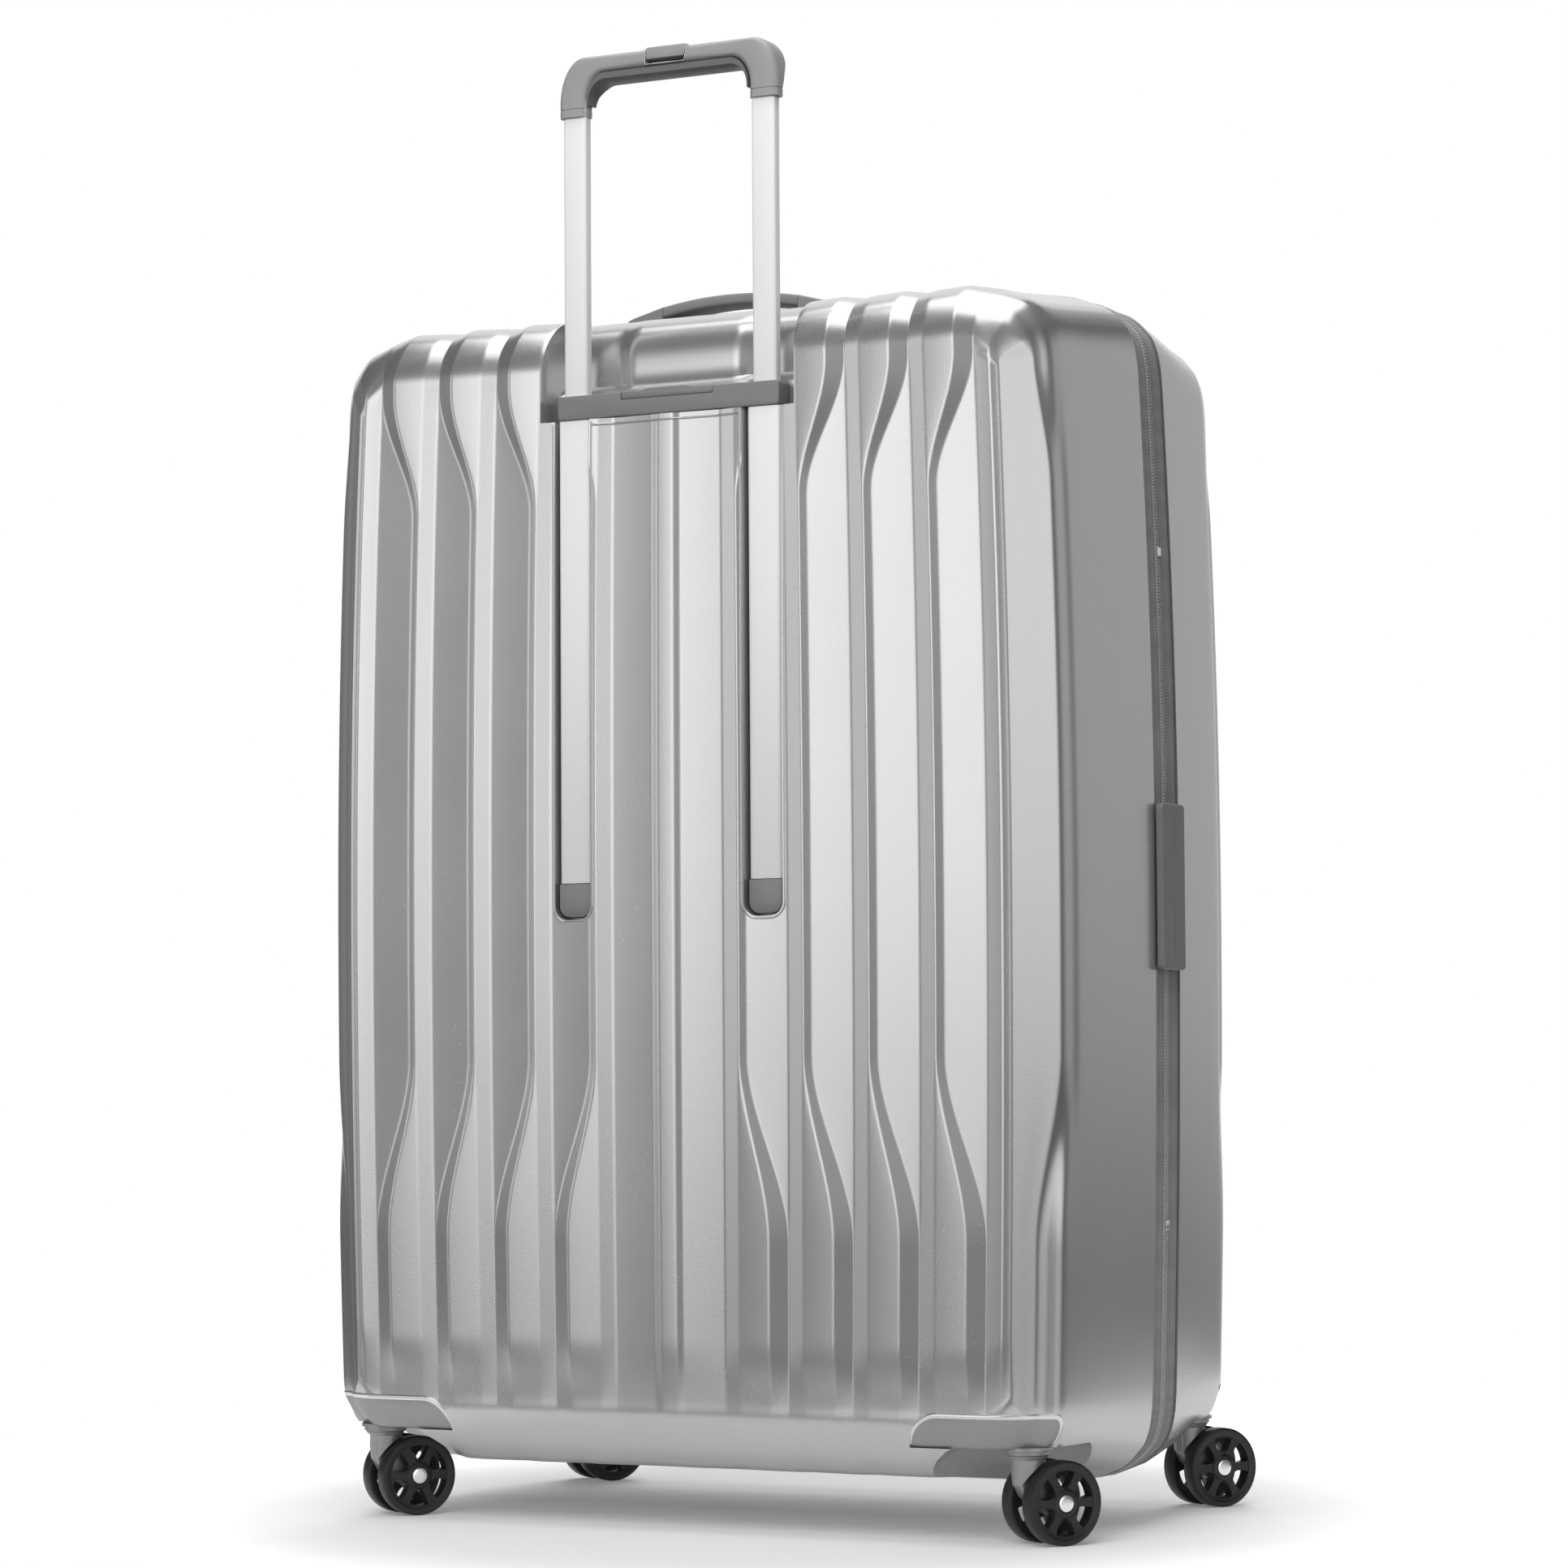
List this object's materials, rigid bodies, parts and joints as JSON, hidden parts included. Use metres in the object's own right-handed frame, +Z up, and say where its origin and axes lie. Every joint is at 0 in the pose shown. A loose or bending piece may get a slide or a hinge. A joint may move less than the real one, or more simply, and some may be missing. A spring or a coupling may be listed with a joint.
{
  "type": "suitcase",
  "caption": "Hard-shell spinner suitcase with wavy vertical flutes, telescopic handle, zipped hinged lid, combination lock and swivelling twin-wheel casters",
  "frame": {"origin": "on the floor under the middle of the case, midway between the four casters", "axes": "+Z up; -Y faces the trolley handle side; +X is the hinge side with the side handle, -X the opening side with the lock"},
  "size_m": [0.5557, 0.3417, 0.9458],
  "materials": {
    "shell_sheet": "silver metallic polycarbonate, satin",
    "corner_guard": "silver-grey moulded plastic, satin",
    "grey_plastic": "mid-grey moulded plastic",
    "dark_plastic": "dark grey moulded plastic",
    "black_plastic": "black moulded plastic",
    "wheel_black": "black tyre and rim, satin",
    "tube_aluminium": "satin anodised",
    "bright_metal": "polished",
    "satin_steel": "satin",
    "zip_tape": "woven grey tape with moulded teeth",
    "handle_webbing": "grey padded webbing",
    "strap_webbing": "dark webbing",
    "lining_cloth": "grey woven lining"
  },
  "bodies": {
    "case": {"back_shell": "shell_sheet", "back_lining": "lining_cloth", "back_zip_half": "zip_tape", "zip_stop_upper": "bright_metal", "zip_stop_lower": "bright_metal", "strap_buckle": "black_plastic", "bridge_bracket": "grey_plastic", "top_handle": "handle_webbing", "side_handle": "handle_webbing", "lock_housing": "grey_plastic", "sleeve_left": "tube_aluminium", "sleeve_cap_left": "grey_plastic", "packing_strap_left": "strap_webbing", "top_handle_foot_left": "handle_webbing", "back_guard_left": "corner_guard", "sleeve_right": "tube_aluminium", "sleeve_cap_right": "grey_plastic", "packing_strap_right": "strap_webbing", "top_handle_foot_right": "handle_webbing", "back_guard_right": "corner_guard", "caster_plate_back_left": "dark_plastic", "caster_plate_back_right": "dark_plastic"},
    "lid": {"front_shell": "shell_sheet", "front_lining": "lining_cloth", "front_zip_half": "zip_tape", "divider_panel": "lining_cloth", "front_guard_left": "corner_guard", "front_guard_right": "corner_guard", "caster_plate_front_left": "dark_plastic", "caster_plate_front_right": "dark_plastic"},
    "trolley": {"grip_shell": "grey_plastic", "grip_liner": "dark_plastic", "post_left": "tube_aluminium", "post_right": "tube_aluminium"},
    "name_tag": {"id_tag": "grey_plastic"},
    "grip_release": {"grip_button": "grey_plastic"},
    "lock_release": {"lock_button": "satin_steel"},
    "dial_1_body": {"dial_1": "black_plastic"},
    "dial_2_body": {"dial_2": "black_plastic"},
    "dial_3_body": {"dial_3": "black_plastic"},
    "zip_slider_upper_body": {"zip_slider_upper": "satin_steel"},
    "pull_tab_upper_body": {"pull_tab_upper": "satin_steel"},
    "zip_slider_lower_body": {"zip_slider_lower": "satin_steel"},
    "pull_tab_lower_body": {"pull_tab_lower": "satin_steel"},
    "caster_back_left": {"fork_back_left": "corner_guard", "axle_back_left": "satin_steel"},
    "wheel_back_left_outer_body": {"wheel_back_left_outer": "wheel_black"},
    "wheel_back_left_inner_body": {"wheel_back_left_inner": "wheel_black"},
    "caster_back_right": {"fork_back_right": "corner_guard", "axle_back_right": "satin_steel"},
    "wheel_back_right_outer_body": {"wheel_back_right_outer": "wheel_black"},
    "wheel_back_right_inner_body": {"wheel_back_right_inner": "wheel_black"},
    "caster_front_left": {"fork_front_left": "corner_guard", "axle_front_left": "satin_steel"},
    "wheel_front_left_outer_body": {"wheel_front_left_outer": "wheel_black"},
    "wheel_front_left_inner_body": {"wheel_front_left_inner": "wheel_black"},
    "caster_front_right": {"fork_front_right": "corner_guard", "axle_front_right": "satin_steel"},
    "wheel_front_right_outer_body": {"wheel_front_right_outer": "wheel_black"},
    "wheel_front_right_inner_body": {"wheel_front_right_inner": "wheel_black"}
  },
  "joints": [
    {"name": "handle_slide", "type": "slide", "parent": "case", "child": "trolley", "axis": [0, 0, 1], "range_m": [-0.1812, 0]},
    {"name": "grip_button_press", "type": "slide", "parent": "trolley", "child": "grip_release", "axis": [0, 0, -1], "range_m": [0, 0.003], "stiffness_N_per_m": 600},
    {"name": "name_tag_slide", "type": "slide", "parent": "case", "child": "name_tag", "axis": [0, 0, 1], "range_m": [0, 0.008]},
    {"name": "lid_hinge", "type": "hinge", "parent": "case", "child": "lid", "pos_m": [0.2785, 0.0225, 0.408], "axis": [0, 0, -1], "range_deg": [0, 180]},
    {"name": "lock_button_press", "type": "slide", "parent": "case", "child": "lock_release", "axis": [1, 0, 0], "range_m": [0, 0.002], "stiffness_N_per_m": 500},
    {"name": "dial_1_turn", "type": "hinge", "parent": "case", "child": "dial_1_body", "pos_m": [-0.2698, -0.038, 0.4061], "axis": [0, 0, 1], "continuous": true},
    {"name": "dial_2_turn", "type": "hinge", "parent": "case", "child": "dial_2_body", "pos_m": [-0.2698, -0.038, 0.4137], "axis": [0, 0, 1], "continuous": true},
    {"name": "dial_3_turn", "type": "hinge", "parent": "case", "child": "dial_3_body", "pos_m": [-0.2698, -0.038, 0.4213], "axis": [0, 0, 1], "continuous": true},
    {"name": "zip_slider_upper_run", "type": "slide", "parent": "case", "child": "zip_slider_upper_body", "axis": [0, 0, 1], "range_m": [0, 0.15]},
    {"name": "pull_tab_upper_swing", "type": "hinge", "parent": "zip_slider_upper_body", "child": "pull_tab_upper_body", "pos_m": [-0.277, 0.004, 0.4113], "axis": [0, 0, -1], "range_deg": [0, 170]},
    {"name": "zip_slider_lower_run", "type": "slide", "parent": "case", "child": "zip_slider_lower_body", "axis": [0, 0, -1], "range_m": [0, 0.15]},
    {"name": "pull_tab_lower_swing", "type": "hinge", "parent": "zip_slider_lower_body", "child": "pull_tab_lower_body", "pos_m": [-0.277, 0.004, 0.4001], "axis": [0, 0, -1], "range_deg": [0, 170]},
    {"name": "caster_back_left_swivel", "type": "hinge", "parent": "case", "child": "caster_back_left", "pos_m": [-0.231, -0.1305, 0.055], "axis": [0, 0, 1], "continuous": true},
    {"name": "wheel_back_left_outer_spin", "type": "hinge", "parent": "caster_back_left", "child": "wheel_back_left_outer_body", "pos_m": [-0.2121, -0.12251, 0.026], "axis": [0.8387, -0.5446, 0], "continuous": true},
    {"name": "wheel_back_left_inner_spin", "type": "hinge", "parent": "caster_back_left", "child": "wheel_back_left_inner_body", "pos_m": [-0.23139, -0.10998, 0.026], "axis": [0.8387, -0.5446, 0], "continuous": true},
    {"name": "caster_back_right_swivel", "type": "hinge", "parent": "case", "child": "caster_back_right", "pos_m": [0.231, -0.1305, 0.055], "axis": [0, 0, 1], "continuous": true},
    {"name": "wheel_back_right_outer_spin", "type": "hinge", "parent": "caster_back_right", "child": "wheel_back_right_outer_body", "pos_m": [0.2499, -0.12251, 0.026], "axis": [0.8387, -0.5446, 0], "continuous": true},
    {"name": "wheel_back_right_inner_spin", "type": "hinge", "parent": "caster_back_right", "child": "wheel_back_right_inner_body", "pos_m": [0.23061, -0.10998, 0.026], "axis": [0.8387, -0.5446, 0], "continuous": true},
    {"name": "caster_front_left_swivel", "type": "hinge", "parent": "lid", "child": "caster_front_left", "pos_m": [-0.231, 0.1305, 0.055], "axis": [0, 0, 1], "continuous": true},
    {"name": "wheel_front_left_outer_spin", "type": "hinge", "parent": "caster_front_left", "child": "wheel_front_left_outer_body", "pos_m": [-0.2121, 0.13849, 0.026], "axis": [0.8387, -0.5446, 0], "continuous": true},
    {"name": "wheel_front_left_inner_spin", "type": "hinge", "parent": "caster_front_left", "child": "wheel_front_left_inner_body", "pos_m": [-0.23139, 0.15102, 0.026], "axis": [0.8387, -0.5446, 0], "continuous": true},
    {"name": "caster_front_right_swivel", "type": "hinge", "parent": "lid", "child": "caster_front_right", "pos_m": [0.231, 0.1305, 0.055], "axis": [0, 0, 1], "continuous": true},
    {"name": "wheel_front_right_outer_spin", "type": "hinge", "parent": "caster_front_right", "child": "wheel_front_right_outer_body", "pos_m": [0.2499, 0.13849, 0.026], "axis": [0.8387, -0.5446, 0], "continuous": true},
    {"name": "wheel_front_right_inner_spin", "type": "hinge", "parent": "caster_front_right", "child": "wheel_front_right_inner_body", "pos_m": [0.23061, 0.15102, 0.026], "axis": [0.8387, -0.5446, 0], "continuous": true}
  ]
}
